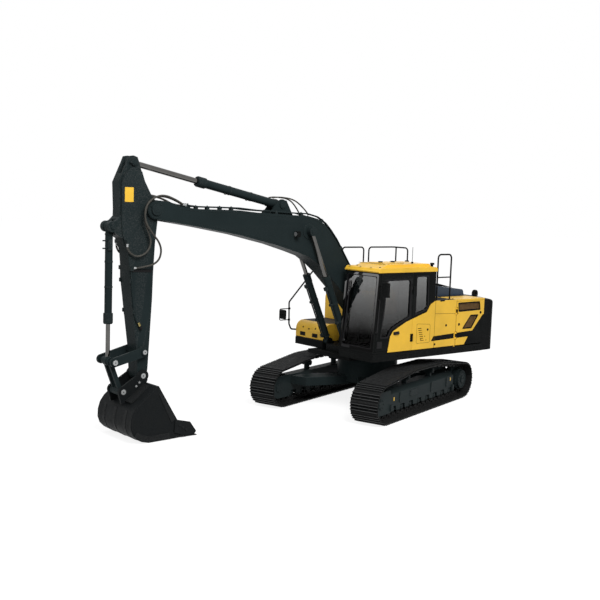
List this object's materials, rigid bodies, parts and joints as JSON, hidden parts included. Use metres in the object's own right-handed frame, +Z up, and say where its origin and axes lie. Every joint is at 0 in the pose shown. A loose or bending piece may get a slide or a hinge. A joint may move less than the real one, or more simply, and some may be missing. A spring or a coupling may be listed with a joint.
{
  "type": "crawler excavator",
  "caption": "Crawler excavator with a slewing upper structure, glazed cab, counterweight, boom, arm and a digging bucket resting on the ground.",
  "frame": {"origin": "on the ground under the middle of the bounding box", "axes": "+X forward along the boom, +Y to the operator's left, +Z up"},
  "size_m": [9.2338, 4.0944, 4.895],
  "materials": {
    "slate_paint": "satin",
    "track_steel": "worn",
    "bare_steel": "machined",
    "chrome_rod": "polished",
    "black_paint": "satin",
    "yellow_paint": "gloss",
    "hood_paint": "satin",
    "bucket_steel": "satin",
    "tinted_glass": "tinted",
    "seat_fabric": "woven",
    "cab_plastic": "matte",
    "hose_rubber": "matte"
  },
  "bodies": {
    "undercarriage": {"car_body": "slate_paint", "swing_bearing": "bare_steel", "track_frames": "slate_paint", "track_left": "track_steel", "track_right": "track_steel", "sprockets": "slate_paint", "idlers": "bare_steel", "rollers": "slate_paint"},
    "upper": {"main_frame": "black_paint", "counterweight": "black_paint", "engine_block": "slate_paint", "engine_bay_frame": "yellow_paint", "left_side_panel": "black_paint", "fuel_tank": "yellow_paint", "hydraulic_tank": "yellow_paint", "tool_box": "yellow_paint", "swing_motor": "slate_paint", "control_valve": "bare_steel", "platform_rails": "black_paint", "ladder_rail": "black_paint", "mirror_rail": "black_paint", "cab_floor": "black_paint", "cab_front": "black_paint", "cab_right": "black_paint", "cab_rear": "black_paint", "cab_left_rear": "black_paint", "cab_roof": "yellow_paint", "cab_glass": "tinted_glass", "seat": "seat_fabric", "seat_base": "cab_plastic", "consoles": "cab_plastic", "monitor": "cab_plastic", "left_panels": "yellow_paint", "left_mirror": "black_paint", "roof_fittings": "black_paint"},
    "cab_door_body": {"cab_door": "black_paint", "door_glass": "tinted_glass", "cab_door_panel": "yellow_paint"},
    "left_door_body": {"left_door": "black_paint", "left_door_panel": "yellow_paint"},
    "right_door_body": {"right_door": "black_paint", "right_door_panel": "yellow_paint"},
    "hood_body": {"engine_hood": "hood_paint"},
    "boom_body": {"boom": "slate_paint", "boom_pipes": "slate_paint", "boom_lamp": "black_paint"},
    "boom_barrels": {"boom_cylinder_barrels": "slate_paint"},
    "boom_rods": {"boom_cylinder_rods": "chrome_rod"},
    "arm_body": {"arm": "slate_paint", "arm_hoses": "hose_rubber"},
    "arm_barrel": {"arm_cylinder_barrel": "slate_paint"},
    "arm_rod": {"arm_cylinder_rod": "chrome_rod"},
    "bucket_barrel": {"bucket_cylinder_barrel": "slate_paint"},
    "bucket_rod": {"bucket_cylinder_rod": "chrome_rod"},
    "rocker": {"rocker_links": "slate_paint"},
    "link": {"power_link": "slate_paint"},
    "bucket_body": {"bucket": "bucket_steel", "bucket_teeth": "bucket_steel"}
  },
  "joints": [
    {"name": "swing", "type": "hinge", "parent": "undercarriage", "child": "upper", "pos_m": [-1.737, 0, 1.05], "axis": [0, 0, 1], "continuous": true},
    {"name": "boom_lift", "type": "hinge", "parent": "upper", "child": "boom_body", "pos_m": [-1.497, 0, 1.85], "axis": [0, -1, 0], "range_deg": [-68, 36]},
    {"name": "arm_crowd", "type": "hinge", "parent": "boom_body", "child": "arm_body", "pos_m": [3.739, 0, 3.99], "axis": [0, 1, 0], "range_deg": [-80, 36], "deforming": ["arm_hoses"]},
    {"name": "bucket_curl", "type": "hinge", "parent": "arm_body", "child": "bucket_body", "pos_m": [3.929, 0, 1.1], "axis": [0, 1, 0], "range_deg": [-78, 92]},
    {"name": "boom_barrel_swing", "type": "hinge", "parent": "upper", "child": "boom_barrels", "pos_m": [-0.837, 0, 1.32], "axis": [0, -1, 0], "range_deg": [-69.05, 36.56]},
    {"name": "boom_rod_slide", "type": "slide", "parent": "boom_barrels", "child": "boom_rods", "axis": [0.4225, 0, 0.9064], "range_m": [-0.884, 0.473]},
    {"name": "arm_barrel_swing", "type": "hinge", "parent": "boom_body", "child": "arm_barrel", "pos_m": [0.863, 0, 4.14], "axis": [0, 1, 0], "range_deg": [-6.41, 2.89]},
    {"name": "arm_rod_slide", "type": "slide", "parent": "arm_barrel", "child": "arm_rod", "axis": [0.9812, 0, 0.1929], "range_m": [-1.072, 0.488]},
    {"name": "rocker_swing", "type": "hinge", "parent": "arm_body", "child": "rocker", "pos_m": [3.945, 0, 1.526], "axis": [0, 1, 0], "range_deg": [-56.56, 66.7]},
    {"name": "link_swing", "type": "hinge", "parent": "bucket_body", "child": "link", "pos_m": [4.315, 0, 0.851], "axis": [0, 1, 0], "range_deg": [-60.85, 51.59]},
    {"name": "bucket_barrel_swing", "type": "hinge", "parent": "arm_body", "child": "bucket_barrel", "pos_m": [4.522, 0, 3.686], "axis": [0, 1, 0], "range_deg": [-4.1, 4.83]},
    {"name": "bucket_rod_slide", "type": "slide", "parent": "bucket_barrel", "child": "bucket_rod", "axis": [-0.0017, 0, -1], "range_m": [-0.492, 0.578]},
    {"name": "cab_door_hinge", "type": "hinge", "parent": "upper", "child": "cab_door_body", "pos_m": [-1.6145, 1.3653, 1.33], "axis": [0, 0, 1], "range_deg": [0, 150]},
    {"name": "left_door_hinge", "type": "hinge", "parent": "upper", "child": "left_door_body", "pos_m": [-2.9745, 1.3653, 1.3], "axis": [0, 0, -1], "range_deg": [0, 100]},
    {"name": "right_door_hinge", "type": "hinge", "parent": "upper", "child": "right_door_body", "pos_m": [-2.9745, -1.3653, 1.3], "axis": [0, 0, 1], "range_deg": [0, 100]},
    {"name": "hood_hinge", "type": "hinge", "parent": "upper", "child": "hood_body", "pos_m": [-2.9745, 0, 2.2943], "axis": [0, 1, 0], "range_deg": [0, 55]}
  ],
  "couplings": [
    {"joint": "boom_barrel_swing", "follows": "boom_lift", "ratio": 1.0133},
    {"joint": "boom_rod_slide", "follows": "boom_lift", "m_per_rad": 0.7351},
    {"joint": "arm_barrel_swing", "follows": "arm_crowd", "ratio": 0.0798},
    {"joint": "arm_rod_slide", "follows": "arm_crowd", "m_per_rad": 0.7591},
    {"joint": "rocker_swing", "follows": "bucket_curl", "ratio": 0.7235},
    {"joint": "link_swing", "follows": "bucket_curl", "ratio": -0.66},
    {"joint": "bucket_barrel_swing", "follows": "bucket_curl", "ratio": 0.0523},
    {"joint": "bucket_rod_slide", "follows": "bucket_curl", "m_per_rad": 0.353}
  ]
}
